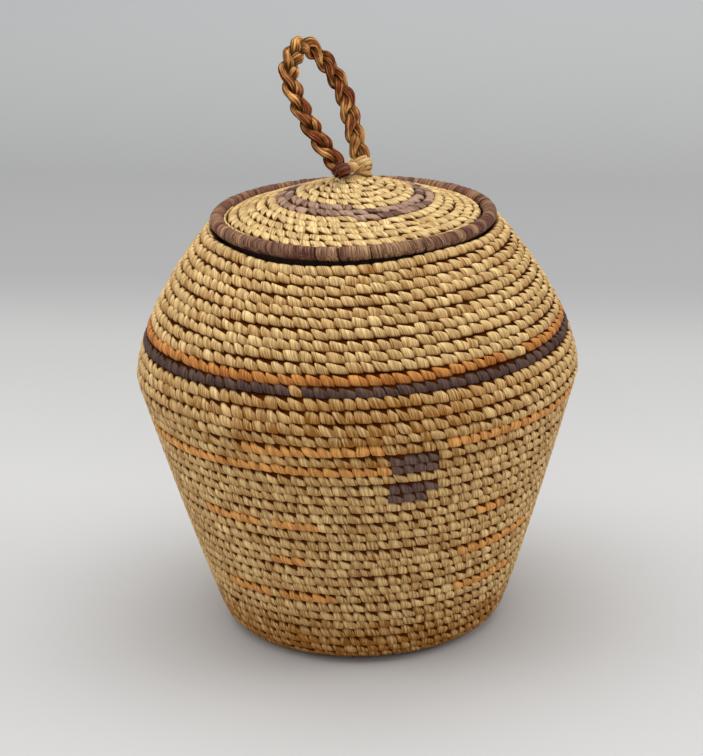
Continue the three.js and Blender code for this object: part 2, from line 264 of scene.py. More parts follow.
def add_piece(name, parts, materials, body, node):
    """Joins parts into one mesh with its attributes, which rides on a body in place of a CAD node."""
    points = np.concatenate([part["points"] for part in parts]) * MM
    starts = np.cumsum([0] + [len(part["points"]) for part in parts[:-1]])
    faces = np.concatenate([part["faces"] + start for part, start in zip(parts, starts)])
    mesh = bpy.data.meshes.new(name)
    mesh.vertices.add(len(points))
    mesh.vertices.foreach_set("co", points.ravel())
    mesh.loops.add(faces.size)
    mesh.loops.foreach_set("vertex_index", faces.ravel())
    mesh.polygons.add(len(faces))
    mesh.polygons.foreach_set("loop_start", np.arange(0, faces.size, 4))
    mesh.polygons.foreach_set("material_index", np.concatenate([part["material"] for part in parts]))
    mesh.polygons.foreach_set("use_smooth", np.ones(len(faces), dtype=bool))
    strand = mesh.attributes.new("strand", "FLOAT_VECTOR", "POINT")
    strand.data.foreach_set("vector", np.concatenate([part["strand"] for part in parts]).ravel())
    for key in ("tone", "shade"):
        attribute = mesh.attributes.new(key, "FLOAT", "POINT")
        attribute.data.foreach_set("value", np.concatenate([part[key] for part in parts]))
    mesh.update(calc_edges=True)
    mesh.validate()
    for material in materials:
        mesh.materials.append(material)
    piece = bpy.data.objects.new(name, mesh)
    bpy.context.scene.collection.objects.link(piece)
    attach(piece, body)
    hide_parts(node)


# Materials

def linear(code):
    """Linear colour of an sRGB hex code."""
    value = np.array([int(code[i:i + 2], 16) for i in (1, 3, 5)]) / 255
    low = value / 12.92
    high = ((value + 0.055) / 1.055) ** 2.4
    return (*np.where(value <= 0.04045, low, high).tolist(), 1.0)


def add_node(tree, kind, inputs=None, output=0, **settings):
    """Adds a node with its settings, sets or links its inputs, and gives one of its outputs."""
    made = tree.nodes.new(kind)
    for key, value in settings.items():
        setattr(made, key, value)
    for key, value in (inputs or {}).items():
        if isinstance(value, bpy.types.NodeSocket):
            tree.links.new(value, made.inputs[key])
        else:
            made.inputs[key].default_value = value
    return made.outputs[output] if made.outputs else None


def empty_material(name):
    """A material with no nodes yet."""
    material = bpy.data.materials.new(name)
    material.use_nodes = True
    material.node_tree.nodes.clear()
    return material


def grass_material(name, pale, deep, shade_colour, roughness, fibre_mm, fibre_depth, streak_low=0.68):
    """Split grass: a tone between two colours, fibres along it, and a brown, matt painted shade where it lies
    deep.

    The tone is the strand's own, with blotches, and fibres that are paler and deeper by turns. The attribute
    strand gives millimetres across and along a strand, with a number of its own for each strand.
    """
    material = empty_material(name)
    tree = material.node_tree
    strand = add_node(tree, "ShaderNodeAttribute", output="Vector", attribute_name="strand")
    tone = add_node(tree, "ShaderNodeAttribute", output="Fac", attribute_name="tone")
    shade = add_node(tree, "ShaderNodeAttribute", output="Fac", attribute_name="shade")
    stretched = add_node(tree, "ShaderNodeMapping", {"Vector": strand, "Scale": (1 / fibre_mm, 0.12, 1)})
    fibre = add_node(tree, "ShaderNodeTexNoise", {"Vector": stretched, "Scale": 1, "Detail": 2,
                                                  "Roughness": 0.6})
    patchy = add_node(tree, "ShaderNodeMapping", {"Vector": strand, "Scale": (0.35, 0.2, 1)})
    blotch = add_node(tree, "ShaderNodeTexNoise", {"Vector": patchy, "Scale": 1, "Detail": 1})
    mixed = add_node(tree, "ShaderNodeMath", {0: blotch, 1: 0.3, 2: tone}, operation="MULTIPLY_ADD")
    lined = add_node(tree, "ShaderNodeMath", {0: fibre, 1: 1.2, 2: mixed}, operation="MULTIPLY_ADD")
    level = add_node(tree, "ShaderNodeMapRange", {"Value": lined, "From Min": 0.75, "From Max": 1.75})
    colour = add_node(tree, "ShaderNodeMix", {0: level, 6: linear(deep), 7: linear(pale)}, 2,
                      data_type="RGBA")
    streak = add_node(tree, "ShaderNodeMapRange", {"Value": fibre, "From Min": 0.36, "From Max": 0.6,
                                                   "To Min": streak_low, "To Max": 1.06})
    streaked = add_node(tree, "ShaderNodeMix", {0: 1.0, 6: colour, 7: streak}, 2, data_type="RGBA",
                        blend_type="MULTIPLY")
    # Painted shade: by the attribute shade, the colour turns to the shade colour and the gloss goes
    painted_shade = add_node(tree, "ShaderNodeMapRange", {"Value": shade, "From Min": 0.15, "From Max": 1.0,
                                                   "To Min": 0.0, "To Max": 0.85})
    final = add_node(tree, "ShaderNodeMix", {0: painted_shade, 6: streaked, 7: linear(shade_colour)}, 2,
                     data_type="RGBA")
    gloss = add_node(tree, "ShaderNodeMapRange", {"Value": shade, "From Min": 0.1, "From Max": 0.6,
                                                  "To Min": 0.14, "To Max": 0.0})
    bump = add_node(tree, "ShaderNodeBump", {"Height": fibre, "Strength": 1.0, "Distance": fibre_depth * MM})
    surface = add_node(tree, "ShaderNodeBsdfPrincipled", {
        "Base Color": final, "Roughness": roughness, "IOR": 1.45,
        "Specular IOR Level": gloss, "Normal": bump})
    add_node(tree, "ShaderNodeOutputMaterial", {"Surface": surface})
    return material


# Each grass has the colours of its pale and deep fibres and of its painted shade, then its roughness, the
# spacing and the depth of its fibres in mm, and the brightness between them where that isn't the usual one.
# Dry split grass is pale and matt, a little glossy along its fibres. Fibres are really 0.2 mm apart; they are
# drawn 0.6 to 0.8 mm apart, which is the finest that shows in the picture.
natural = grass_material("natural_split_grass", "#FFE0A0", "#A66A24", "#5C2000", 0.55, 0.7, 0.7)
orange = grass_material("orange_dyed_grass", "#F0AE62", "#AC6428", "#542406", 0.55, 0.7, 0.5)
purple = grass_material("purple_dyed_grass", "#7C6054", "#46322A", "#1A0C08", 0.55, 0.7, 0.5)
faded = grass_material("faded_purple_grass", "#BE9A82", "#6C4E42", "#2A160C", 0.55, 0.7, 0.5)
brown = grass_material("brown_rim_grass", "#BE946E", "#6C4238", "#1A0A04", 0.5, 0.6, 0.5, 0.42)
# The bundle of stems under the stitches is dull. It is drawn dark brown all over, as painted shade, since it
# shows only in the gaps
stems = grass_material("bundled_grass_stems", "#94521A", "#70380C", "#441800", 0.75, 0.7, 0.35)
# The braid's blades are whole, not split, so they are smoother and shine more
blade = grass_material("braided_grass_blades", "#EAAC64", "#7E3A16", "#140500", 0.38, 0.8, 0.3, 0.55)
# The knot that ends the braid is wound with dark dyed ends
dark_blade = grass_material("dark_dyed_blades", "#8A4E34", "#3A1C12", "#120402", 0.45, 0.8, 0.3)
STITCH_MATERIALS = [stems, natural, orange, purple, faded, brown]
STEMS, NATURAL, ORANGE, PURPLE, FADED, BROWN = range(6)


# Stitches and bundles

# A stitch goes round the bundle, from its tip below outside, over the top, to its tip below inside.
# Columns: place up the row as a share of its height, depth under the face, where its left and right edges are
# as shares of the way to its neighbours, and how much of the lower end's slope it has. Its upper right corner
# is drawn away, which leaves a wedge under the row above, dark by its depth and by the bundle's painted shade:
# long and shallow on the shoulder, where a stitch is a plump kernel, and a short deep notch low on the wall,
# where it is flat.
KERNEL_PATH = np.array([
    (-0.56, 1.60, -0.92, 0.94, 0.4),
    (-0.53, 0.90, -0.99, 1.01, 0.4),
    (-0.42, 0.46, -1.02, 1.03, 0.3),
    (-0.20, 0.12, -1.03, 1.04, 0.1),
    (0.03, 0.00, -1.03, 1.00, 0.0),
    (0.21, 0.10, -1.03, 0.62, 0.0),
    (0.37, 0.40, -1.02, 0.04, 0.0),
    (0.50, 1.00, -0.96, -0.46, 0.0),
    (0.55, 2.40, -0.76, 0.76, 0.0),
    (0.42, 3.70, -0.84, 0.84, 0.0),
    (0.05, 4.55, -1.00, 1.00, 0.0),
    (-0.35, 4.15, -0.92, 0.92, 0.0),
    (-0.58, 3.10, -0.60, 0.60, 0.0),
])
FLAT_PATH = np.array([
    (-0.57, 1.50, -0.92, 0.95, 0.2),
    (-0.53, 0.62, -1.01, 1.03, 0.2),
    (-0.43, 0.24, -1.03, 1.04, 0.15),
    (-0.22, 0.05, -1.03, 1.02, 0.0),
    (-0.04, 0.06, -1.03, 0.98, 0.0),
    (0.14, 0.22, -1.03, 0.60, 0.0),
    (0.32, 0.60, -1.01, 0.08, 0.0),
    (0.52, 1.50, -0.97, -0.35, 0.0),
    (0.55, 2.40, -0.76, 0.76, 0.0),
    (0.42, 3.70, -0.84, 0.84, 0.0),
    (0.05, 4.55, -1.00, 1.00, 0.0),
    (-0.35, 4.15, -0.92, 0.92, 0.0),
    (-0.58, 3.10, -0.60, 0.60, 0.0),
])
LOWER_SLOPE = 0.18
OUTSIDE_POINTS = 8
ACROSS = np.array([-1, -0.91, -0.6, 0, 0.6, 0.91, 1])
# A strand turns to its painted shade colour from one depth under the face, over another, in mm
SHADE_FROM = 0.24
SHADE_OVER = 0.9
# The bundle lies this deep under the row's face, in mm, and is taller than its row by this share
BUNDLE_DEPTH = 1.15
BUNDLE_OVERLAP = 0.22
# Spreads of what varies from stitch to stitch
JITTER = 0.28
SLANT_SPREAD = 0.4
PLUMP_SPREAD = 0.12
CUT_MEAN = 0.8
CUT_SPREAD = 0.3
CUT_RANGE = (0.2, 1.3)
TONE_SPREAD = 0.07
FADED_SPREAD = 0.4


def wobble(turn):
    """Unevenness of the rows, in millimetres up the line: two waves that don't repeat from row to row."""
    return 0.3 * np.sin(2 * np.pi * 3.3 * turn) + 0.26 * np.sin(2 * np.pi * 7.7 * turn + 1)


def sew(coil, turn, to_left, to_right, slant, plump, cut, tone, dye):
    """Stitches as grids with the shape (stitch, along, across).

    Each follows a path round the bundle that lies between the flat one and the kernel's, by how plump it
    is, and reaches halfway to its neighbours. Cut tells how far its upper corner is drawn away; on the lid,
    which is wound the other way, the path is mirrored. The edges draw in towards the middle of the bundle: a
    little, with the square of the distance from the stitch's own middle line, and steeply, with a high
    power, close to the edge. A plump one also leans in to the right. The middle line slants along the row in
    proportion to the height. As painted light and shade on its rounded form, a stitch is painted paler
    towards its top and deeper at its edges, by that square too; deep under the face it takes painted shade.
    """
    lower = coil_distance(coil, turn + 0.5)
    upper = coil_distance(coil, turn - 0.5)
    tall = (upper - lower)[:, None]
    middle = ((upper + lower) / 2 + wobble(turn))[:, None]
    blend = plump[:, None, None]
    path = (1 - blend) * FLAT_PATH[None] + blend * KERNEL_PATH[None]
    place = path[:, :, 0]
    half = coil["thickness"] / 2
    depth = path[:, :, 1] * coil["thickness"] / COIL_THICKNESS
    edge = np.abs(ACROSS)[None, None, :]
    drawn = ((0.05 + 0.09 * blend) * edge ** 2 + (0.28 - 0.08 * blend) * edge ** 12
             + 0.05 * blend * (1 + ACROSS))
    slope = LOWER_SLOPE * np.sign(slant)[:, None, None] * path[:, :, 4, None]
    drawn_up = place[:, :, None] * (1 - 0.3 * drawn) - slope * ACROSS
    drawn_in = half + (depth - half)[:, :, None] * (1.04 + 0.1 * blend - drawn)
    outside = np.arange(len(FLAT_PATH)) < OUTSIDE_POINTS
    top = place[:, OUTSIDE_POINTS:OUTSIDE_POINTS + 1]
    shift = np.where(outside[None, :], -place, -top + 0.6 * (place - top))
    along = slant[:, None] * shift * tall
    left = path[:, :, 2, None]
    right = 1 - cut[:, None, None] * (1 - path[:, :, 3, None])
    if coil["hand"] < 0:
        left, right = -right, -left
    left = left * to_left[:, None, None]
    right = right * to_right[:, None, None]
    across = left + (right - left) * (ACROSS + 1) / 2 + along[:, :, None]
    radius = line_radius(coil, middle)[:, :, None]
    climb = coil["hand"] * coil["pitch"] * across / (2 * np.pi * radius)
    distance = middle[:, :, None] + drawn_up * tall[:, :, None] + climb
    angle = turn_angle(coil, turn)[:, None, None] + across / radius
    points = coil_point(coil, distance, angle, drawn_in)
    steps = np.hypot(np.diff(place, axis=1) * coil["pitch"], np.diff(depth, axis=1))
    run = np.concatenate([np.zeros((len(turn), 1)), np.cumsum(steps, axis=1)], axis=1)
    own = chance.uniform(0, OWN_NUMBERS, len(turn))[:, None, None]
    strand = strand_map(across - along[:, :, None], run[:, :, None], own, across.shape)
    # Painted shade: the deeper a point lies under the face, the more it turns to the shade colour
    near_face = np.minimum(drawn_in, coil["thickness"] - drawn_in)
    shade = np.clip((near_face - SHADE_FROM) / SHADE_OVER, 0, 1)
    # Painted light and shade of the stitch's form: paler in its middle and towards its top, deeper at its
    # edges
    painted_crown_shading = (0.08 + 0.12 * blend) * (0.35 - ACROSS ** 2)
    tone = tone[:, None, None] + 0.4 * place[:, :, None] + painted_crown_shading
    return grid_part(points, strand, tone, shade, dye, flip=coil["inward"] < 0)


def bundle(coil, from_turn, to_turn, steps_per_turn=48):
    """The bundle under the stitches: an oval section, carried along the coil's turns.

    It is a little taller than its row, so that uneven rows leave no holes, but not in the outermost row. The
    first and the last section shrink to a point, which closes the ends.
    """
    steps = max(int((from_turn - to_turn) * steps_per_turn), 8)
    turn = np.linspace(from_turn, to_turn, steps + 1)
    turn = np.concatenate([turn[:1], turn, turn[-1:]])[:, None]
    size = capped(turn.shape)
    around = np.linspace(0, 2 * np.pi, 10, endpoint=False)[None, :]
    lower = coil_distance(coil, turn + 0.5)
    upper = coil_distance(coil, turn - 0.5)
    half = coil["thickness"] / 2
    tall = (upper - lower) * (1 + BUNDLE_OVERLAP * np.clip(turn - 0.5, 0, 1))
    distance = (lower + upper) / 2 + wobble(turn) + size * tall / 2 * np.sin(around)
    depth = half - size * (half - BUNDLE_DEPTH) * np.sign(np.cos(around)) * np.abs(np.cos(around)) ** 0.7
    points = coil_point(coil, distance, np.broadcast_to(turn_angle(coil, turn), distance.shape), depth)
    run = 2 * np.pi * line_radius(coil, lower) * turn
    strand = strand_map(around * 2.2, run, 0.0, distance.shape)
    # Painted shade: half in the middle of the bundle's face, full towards the row's top and bottom
    shade = np.clip(0.5 + 0.9 * np.abs(np.sin(around)), 0, 1)
    return tube_part(points, strand, 0.5, shade, STEMS, flip=coil["inward"] * coil["hand"] > 0)


def stitch_turns(coil, from_turn, to_turn, width_of):
    """Turns of the stitches along a stretch of coil, a stitch width apart, and half the way to the next ones.

    The widths are added up along the coil, and places are taken at equal counts, with a little jitter but at
    the stretch's ends. The halves are millimetres, to the left and to the right. The right one is towards
    the coil's outer end where it is wound anticlockwise.
    """
    turn = np.linspace(from_turn, to_turn, 4000)
    radius = line_radius(coil, (coil_distance(coil, turn + 0.5) + coil_distance(coil, turn - 0.5)) / 2)
    per_turn = 2 * np.pi * radius / width_of(turn)
    count = np.concatenate([[0], np.cumsum(0.5 * (per_turn[1:] + per_turn[:-1]) * np.abs(np.diff(turn)))])
    places = np.arange(0.5, np.floor(count[-1]))
    jitter = chance.uniform(-JITTER, JITTER, len(places))
    jitter[[0, -1]] = 0
    places = (places + jitter) * count[-1] / np.floor(count[-1])
    turns = np.interp(places, count, turn)
    gap = np.diff(places)
    gap = np.concatenate([gap[:1], gap, gap[-1:]]) / 2
    left, right = (gap[:-1], gap[1:])[::coil["hand"]]
    return turns, left * width_of(turns), right * width_of(turns)


def wall_width(turn):
    """Stitch width up the wall: widest on the shoulder, finer towards the foot and the middle of the base."""
    turns = [0, 2, 10, 13, 20, 33, 40, 46, 52]
    widths = [5.4, 5.8, 5.8, 5.3, 5.3, 5.0, 4.7, 4.6, 3.6]
    return np.interp(turn, turns, widths)


def lid_width(turn):
    """Stitch width on the lid: finer towards the middle."""
    return np.interp(turn, [0, 5, 9, 12], [5.5, 5.1, 4.7, 4.1])


# Dyed stitches: row from the mouth, from and to azimuth, dye, share of stitches that have it
DYED = [
    (17, -31, 7, ORANGE, 1.0), (17, 22, 118, ORANGE, 1.0), (17, 134, 176, ORANGE, 0.9),
    (17, -180, -150, ORANGE, 0.9),
    (19, -100, 7, ORANGE, 1.0), (19, 22, 60, ORANGE, 0.35), (19, 90, 118, ORANGE, 0.9),
    (19, 134, 180, ORANGE, 1.0), (19, -180, -122, ORANGE, 0.4),
    (18, 7, 21.5, PURPLE, 1.0), (19, 7, 21.5, PURPLE, 1.0), (21, 8.5, 22, PURPLE, 1.0),
    (22, 8.5, 18, PURPLE, 1.0),
    (18, 119, 133, PURPLE, 1.0), (19, 119, 133, PURPLE, 1.0), (21, 120, 134, PURPLE, 1.0),
    (22, 120, 131, PURPLE, 1.0),
    (18, -121, -107, PURPLE, 1.0), (19, -121, -107, PURPLE, 1.0), (21, -120, -106, PURPLE, 1.0),
    (22, -120, -109, PURPLE, 1.0),
    (25, -54, -13, ORANGE, 0.8), (29, -34, -14, ORANGE, 0.5), (33, -52, -11, ORANGE, 0.85),
    (25, 34, 39, ORANGE, 1.0), (25, 40, 53, ORANGE, 0.4), (29, 31, 66, ORANGE, 0.8),
    (33, 33, 65, ORANGE, 0.9),
    (25, 92, 128, ORANGE, 0.7), (29, 100, 124, ORANGE, 0.6), (33, 95, 130, ORANGE, 0.85),
    (25, 160, 180, ORANGE, 0.8), (29, 165, 180, ORANGE, 0.5), (33, 158, 180, ORANGE, 0.8),
    (25, -180, -165, ORANGE, 0.7), (33, -180, -168, ORANGE, 0.8),
    (25, -128, -92, ORANGE, 0.8), (29, -120, -98, ORANGE, 0.6), (33, -130, -96, ORANGE, 0.8),
]


def dye_of(turn, plain):
    """Dye of each stitch: the stretch's own, unless a dyed run of its row covers its azimuth."""
    row = np.ceil(turn)
    azimuth = azimuth_of(turn_angle(basket, turn))
    luck = chance.uniform(0, 1, len(turn))
    dye = np.full(len(turn), plain)
    for at_row, start, end, colour, share in DYED:
        covered = (row == at_row) & (azimuth >= start) & (azimuth <= end) & (luck < share)
        dye[covered] = colour
    return dye


def darker_rows(turn):
    """How much darker the straw is drawn, by row: towards the foot, and on the belly, there mostly in front.

    The belly's darkening, most of it in front, is painted shade. The front is a bell curve of the azimuth.
    """
    belly = np.interp(turn, [10, 12, 17, 20], [0, -1, -1, 0])
    front = np.exp(-(azimuth_of(turn_angle(basket, turn)) / 38) ** 2)
    foot = np.interp(turn, [17, 20, 34, 39, 41], [0, -0.06, -0.06, -0.5, -0.45])
    return belly * (0.05 + 0.2 * front) + foot


def sewn_stretch(node, coil, from_turn, to_turn, plain, body, width_of, lean, stray=0.0):
    """A stretch of coil: its bundle, and stitches that vary a little in width, slant, fullness and tone.

    Stray is the share of stitches that are natural among dyed ones.
    """
    turn, to_left, to_right = stitch_turns(coil, from_turn, to_turn, width_of)
    count = len(turn)
    dye = dye_of(turn, plain) if coil is basket else np.full(count, plain)
    dye[chance.uniform(0, 1, count) < stray] = NATURAL
    plump = np.interp(turn, [11, 13, 23], [1, 0.45, 0]) if coil is basket else np.full(count, 0.05)
    plump = np.clip(plump + chance.normal(0, PLUMP_SPREAD, count), 0, 1.2)
    plump[dye == PURPLE] *= 0.4
    slant = lean * (0.7 + 0.3 * plump) * chance.normal(1, SLANT_SPREAD, count)
    cut = np.clip(chance.normal(CUT_MEAN, CUT_SPREAD, count), *CUT_RANGE)
    tone = chance.normal(0.5, np.where(dye == FADED, FADED_SPREAD, TONE_SPREAD))
    if coil is basket:
        cut *= np.clip(turn - 0.5, 0.1, 1)
        tone += np.where(dye == NATURAL, darker_rows(turn), np.clip((turn - 14) / 10, -0.2, 0.2))
    else:
        # Only the collar is purple here: drawn darker still, as painted shade for the gap under the rim
        tone += np.where(dye == PURPLE, -0.6, 0.22)
    stitches = sew(coil, turn, to_left, to_right, slant, plump, cut, tone, dye)
    name = node.removesuffix("_coil") + "_rows"
    add_piece(name, [bundle(coil, from_turn, to_turn), stitches], STITCH_MATERIALS, body, node)


WALL_LEAN = 0.3
LID_LEAN = -0.6
for node, from_turn, to_turn, plain, slot, stray in (
        ("base_coil", start_turn(basket, 40), 40, NATURAL, "straw", 0),
        ("foot_coil", 40, 33, NATURAL, "straw", 0),
        ("lower_flank_coil", 33, 29, NATURAL, "straw", 0),
        ("middle_flank_coil", 29, 25, NATURAL, "straw", 0),
        ("upper_flank_coil", 25, 19, NATURAL, "straw", 0),
        ("lower_dashed_coil", 19, 18, NATURAL, "orange_grass", 0),
        ("spacer_coil", 18, 17, NATURAL, "straw", 0),
        ("upper_dashed_coil", 17, 16, NATURAL, "orange_grass", 0),
        ("belly_coil", 16, 12, NATURAL, "straw", 0),
        ("purple_coil", 12, 11, PURPLE, "purple_grass", 0.025),
        ("orange_coil", 11, 10, ORANGE, "orange_grass", 0.03),
        ("shoulder_coil", 10, 1, NATURAL, "straw", 0),
        ("mouth_coil", 1, -OUTER_TAPER, NATURAL, "straw", 0)):
    sewn_stretch(node, basket, from_turn, to_turn, plain, "basket", wall_width, WALL_LEAN, stray)

for node, from_turn, to_turn, plain, slot in (
        ("lid_centre_coil", start_turn(lid, 7), 7, NATURAL, "straw"),
        ("lid_purple_coil", 7, 5, FADED, "purple_grass"),
        ("lid_outer_coil", 5, -OUTER_TAPER, NATURAL, "straw")):
    sewn_stretch(node, lid, from_turn, to_turn, plain, "lid", lid_width, LID_LEAN)
# The collar is drawn in the dark purple grass as painted shade, for the gap under the rim
sewn_stretch("lid_collar", collar, COLLAR_ROWS + OUTER_TAPER, -OUTER_TAPER, PURPLE, "lid",
             wall_width, WALL_LEAN)


def back_foot_ring():
    """Two rounds of strand round the handle's back foot: a round section on a ring that climbs and narrows."""
    strand_radius = 0.85
    around = np.linspace(0, 4 * np.pi, 57)[:, None]
    section = np.linspace(0, 2 * np.pi, 8, endpoint=False)[None, :]
    climb = around / (4 * np.pi)
    size = capped(around.shape)
    reach = 3.4 - 0.7 * climb + size * strand_radius * np.cos(section)
    east = FOOT_HALF_SPACING * np.cos(LOOP_YAW) + reach * np.cos(around)
    north = FOOT_HALF_SPACING * np.sin(LOOP_YAW) + reach * np.sin(around)
    height = lid_height(np.hypot(east, north)) + 0.3 + 1.5 * climb + size * strand_radius * np.sin(section)
    points = np.stack([east, north, height], axis=-1)
    strand = strand_map(section * 0.8, around * 3, 6.0, east.shape)
    return tube_part(points, strand, 0.4, 0.0, NATURAL)


def start_button(coil):
    """The tight start of a coil: a flattened ball, pleated by the strands that turn in to its middle."""
    near_middle = 0.5
    pleats = 8
    rise = np.linspace(0, np.pi, 13)[:, None]
    around = np.linspace(0, 2 * np.pi, 48, endpoint=False)[None, :]
    half = coil["thickness"] / 2
    pleat = 0.12 * np.cos(pleats * around + 3 * np.cos(rise)) * np.sin(rise)
    reach = (START_RADIUS + 0.9) * np.sin(rise) + pleat
    top = coil_point(coil, near_middle, 0.0, 0.0)[2]
    middle = top + coil["inward"] * half
    height = middle + half * np.cos(rise) * (1 + 0.1 * np.cos(pleats * around) * np.sin(rise))
    points = np.stack([reach * np.cos(around), reach * np.sin(around), height], axis=-1)
    strand = strand_map(around * 4, rise * 4, 0.0, reach.shape)
    # Painted shade: a little all over, and more in the valleys of the pleats
    shade = np.clip(0.3 - pleat, 0, 1)
    return tube_part(points, strand, 0.4, shade, NATURAL, flip=True)


add_piece("base_start_button", [start_button(basket)], STITCH_MATERIALS, "basket", "base_start_knot")
lid_start = [start_button(lid), back_foot_ring()]
add_piece("lid_start_button", lid_start, STITCH_MATERIALS, "lid", "lid_start_knot")


def rim_wraps():
    """Bands of strand, wound side by side round the bundle of the lid's rim.

    A band's section round the bundle is a circle. Its edges draw in, with a high power, and it leans along
    the rim as it goes round.
    """
    count = 84
    sides = 16
    section = np.linspace(0, 2 * np.pi, sides, endpoint=False)[None, :, None]
    across = np.array([-1, -0.88, -0.4, 0.4, 0.88, 1])[None, None, :]
    place = (np.arange(count) + chance.uniform(-0.16, 0.16, count)) * 2 * np.pi / count
    width = (np.roll(place, -1) - np.roll(place, 1)) % (2 * np.pi) / 2 * RIM_RADIUS
    half = RIM_THICKNESS / 2
    swell = chance.normal(0, 0.06, count)[:, None, None]
    reach = half + swell - 0.6 * np.abs(across) ** 10
    lean = 0.2 + 0.08 * np.sin(5 * place)[:, None, None]
    angle = (place[:, None, None] + 0.54 * width[:, None, None] / RIM_RADIUS * across
             - lean * np.sin(section) * half / RIM_RADIUS)
    reach = np.broadcast_to(reach, (count, sides, across.size))
    radius = RIM_RADIUS + reach * np.cos(section)
    height = RIM_HEIGHT - LID_SUNK * sunken(angle) + reach * np.sin(section)
    points = np.stack([radius * np.cos(angle), radius * np.sin(angle), height], axis=-1)
    own = chance.uniform(0, OWN_NUMBERS, count)[:, None, None]
    strand = strand_map(0.5 * width[:, None, None] * across, section * half, own, reach.shape)
    # Painted shade in the grooves between the bands, where their edges draw in
    shade = np.clip((half - reach) / 0.6, 0, 1)
    tan = np.exp(-((azimuth_of(place) - 6) / 12) ** 2)
    tone = (chance.normal(0.3, 0.18, count) + 0.32 * tan)[:, None, None]
    points, strand, shade = (np.swapaxes(array, 1, 2) for array in (points, strand, shade))
    return grid_part(points, strand, tone, shade, BROWN, around=True)


def rim_bundle():
    """The ring of bundled stems inside the wraps: a circle carried round the lid."""
    around = np.linspace(0, 2 * np.pi, 121)[:, None]
    section = np.linspace(0, 2 * np.pi, 10, endpoint=False)[None, :]
    reach = RIM_THICKNESS / 2 - 0.6
    radius = RIM_RADIUS + reach * np.cos(section)
    height = RIM_HEIGHT - LID_SUNK * sunken(around) + reach * np.sin(section)
    points = np.stack([radius * np.cos(around), radius * np.sin(around), height], axis=-1)
    strand = strand_map(section * reach, around * RIM_RADIUS, 0.0, height.shape)
    # The bundle shows only between the bands: it is drawn fully in its painted shade colour
    return tube_part(points, strand, 0.3, 1.0, STEMS)


add_piece("lid_rim_wraps", [rim_bundle(), rim_wraps()], STITCH_MATERIALS, "lid", "lid_rim")


# The handle

HINGE = np.array([0, 0, HINGE_HEIGHT])
FOOT_LINE = np.array([np.cos(LOOP_YAW), np.sin(LOOP_YAW), 0])
LEAN_SIDE = np.array([-np.sin(LOOP_YAW), np.cos(LOOP_YAW), 0])
LOOP_UP = np.cos(LOOP_LEAN) * np.array([0, 0, 1]) + np.sin(LOOP_LEAN) * LEAN_SIDE
LOOP_FACING = np.cross(FOOT_LINE, LOOP_UP)
LOOP_MARKS = np.vstack([
    (-FOOT_HALF_SPACING, 0), np.array(FRONT_LIMB) * (-LOOP_HALF_WIDTH, LOOP_HEIGHT),
    np.array(LOOP_TOP) * (LOOP_HALF_WIDTH, LOOP_HEIGHT),
    np.array(BACK_LIMB[::-1]) * (LOOP_HALF_WIDTH, LOOP_HEIGHT), (FOOT_HALF_SPACING, 0)])


def loop_line(count=600):
    """Middle line of the braid in its own plane: a centripetal Catmull-Rom curve through its marks.

    Each span is a cubic with the marks' tangents, which weigh the chords by the root of their length.
    """
    marks = np.vstack([2 * LOOP_MARKS[0] - LOOP_MARKS[1], LOOP_MARKS, 2 * LOOP_MARKS[-1] - LOOP_MARKS[-2]])
    knot = np.sqrt(np.linalg.norm(np.diff(marks, axis=0), axis=1))[:, None]
    before, here, there, after = marks[:-3], marks[1:-2], marks[2:-1], marks[3:]
    first, span, last = knot[:-2], knot[1:-1], knot[2:]
    leave = ((here - before) / first - (there - before) / (first + span) + (there - here) / span) * span
    reach = ((there - here) / span - (after - here) / (span + last) + (after - there) / last) * span
    share = np.linspace(0, 1, count // len(here), endpoint=False)[None, :, None]
    here, there, leave, reach = (array[:, None, :] for array in (here, there, leave, reach))
    curve = (here + leave * share + (3 * there - 3 * here - 2 * leave - reach) * share ** 2
             + (2 * here - 2 * there + leave + reach) * share ** 3)
    return np.vstack([curve.reshape(-1, 2), LOOP_MARKS[-1]])


LOOP_LINE = loop_line()
LOOP_RUN = np.concatenate([[0], np.cumsum(np.linalg.norm(np.diff(LOOP_LINE, axis=0), axis=1))])


def on_loop(run):
    """Point of the braid's middle line at a length along it, and its direction, both in the loop's plane."""
    point = np.stack([np.interp(run, LOOP_RUN, LOOP_LINE[:, k]) for k in (0, 1)], axis=-1)
    ahead = np.stack([np.interp(run + 1, LOOP_RUN, LOOP_LINE[:, k]) for k in (0, 1)], axis=-1)
    behind = np.stack([np.interp(run - 1, LOOP_RUN, LOOP_LINE[:, k]) for k in (0, 1)], axis=-1)
    direction = ahead - behind
    return point, direction / np.linalg.norm(direction, axis=-1, keepdims=True)


def to_space(across, up, out):
    """A place in the loop's plane, and out of it, as a point in space."""
    return HINGE + across[..., None] * FOOT_LINE + up[..., None] * LOOP_UP + out[..., None] * LOOP_FACING


# The braid: its cycles of plaiting, how far its strands go to each side and through it, half a strand's width
# and depth, the blades in a strand, and how far from the feet the plaiting starts
BRAID_CYCLES = 4.5
BRAID_SWAY = 2.75
BRAID_DEPTH = 1.35
STRAND_HALF_WIDTH = 2.45
STRAND_HALF_DEPTH = 1.2
BLADES = 10
FOOT_REACH = 5.1


def uneven(share, waves):
    """A slow unevenness along a strand, between -1 and 1: three sine waves that start anywhere."""
    starts = chance.uniform(0, 2 * np.pi, 3)
    return sum(np.sin(2 * np.pi * waves * k * share + starts[k - 1]) for k in (1, 2, 3)) / 3


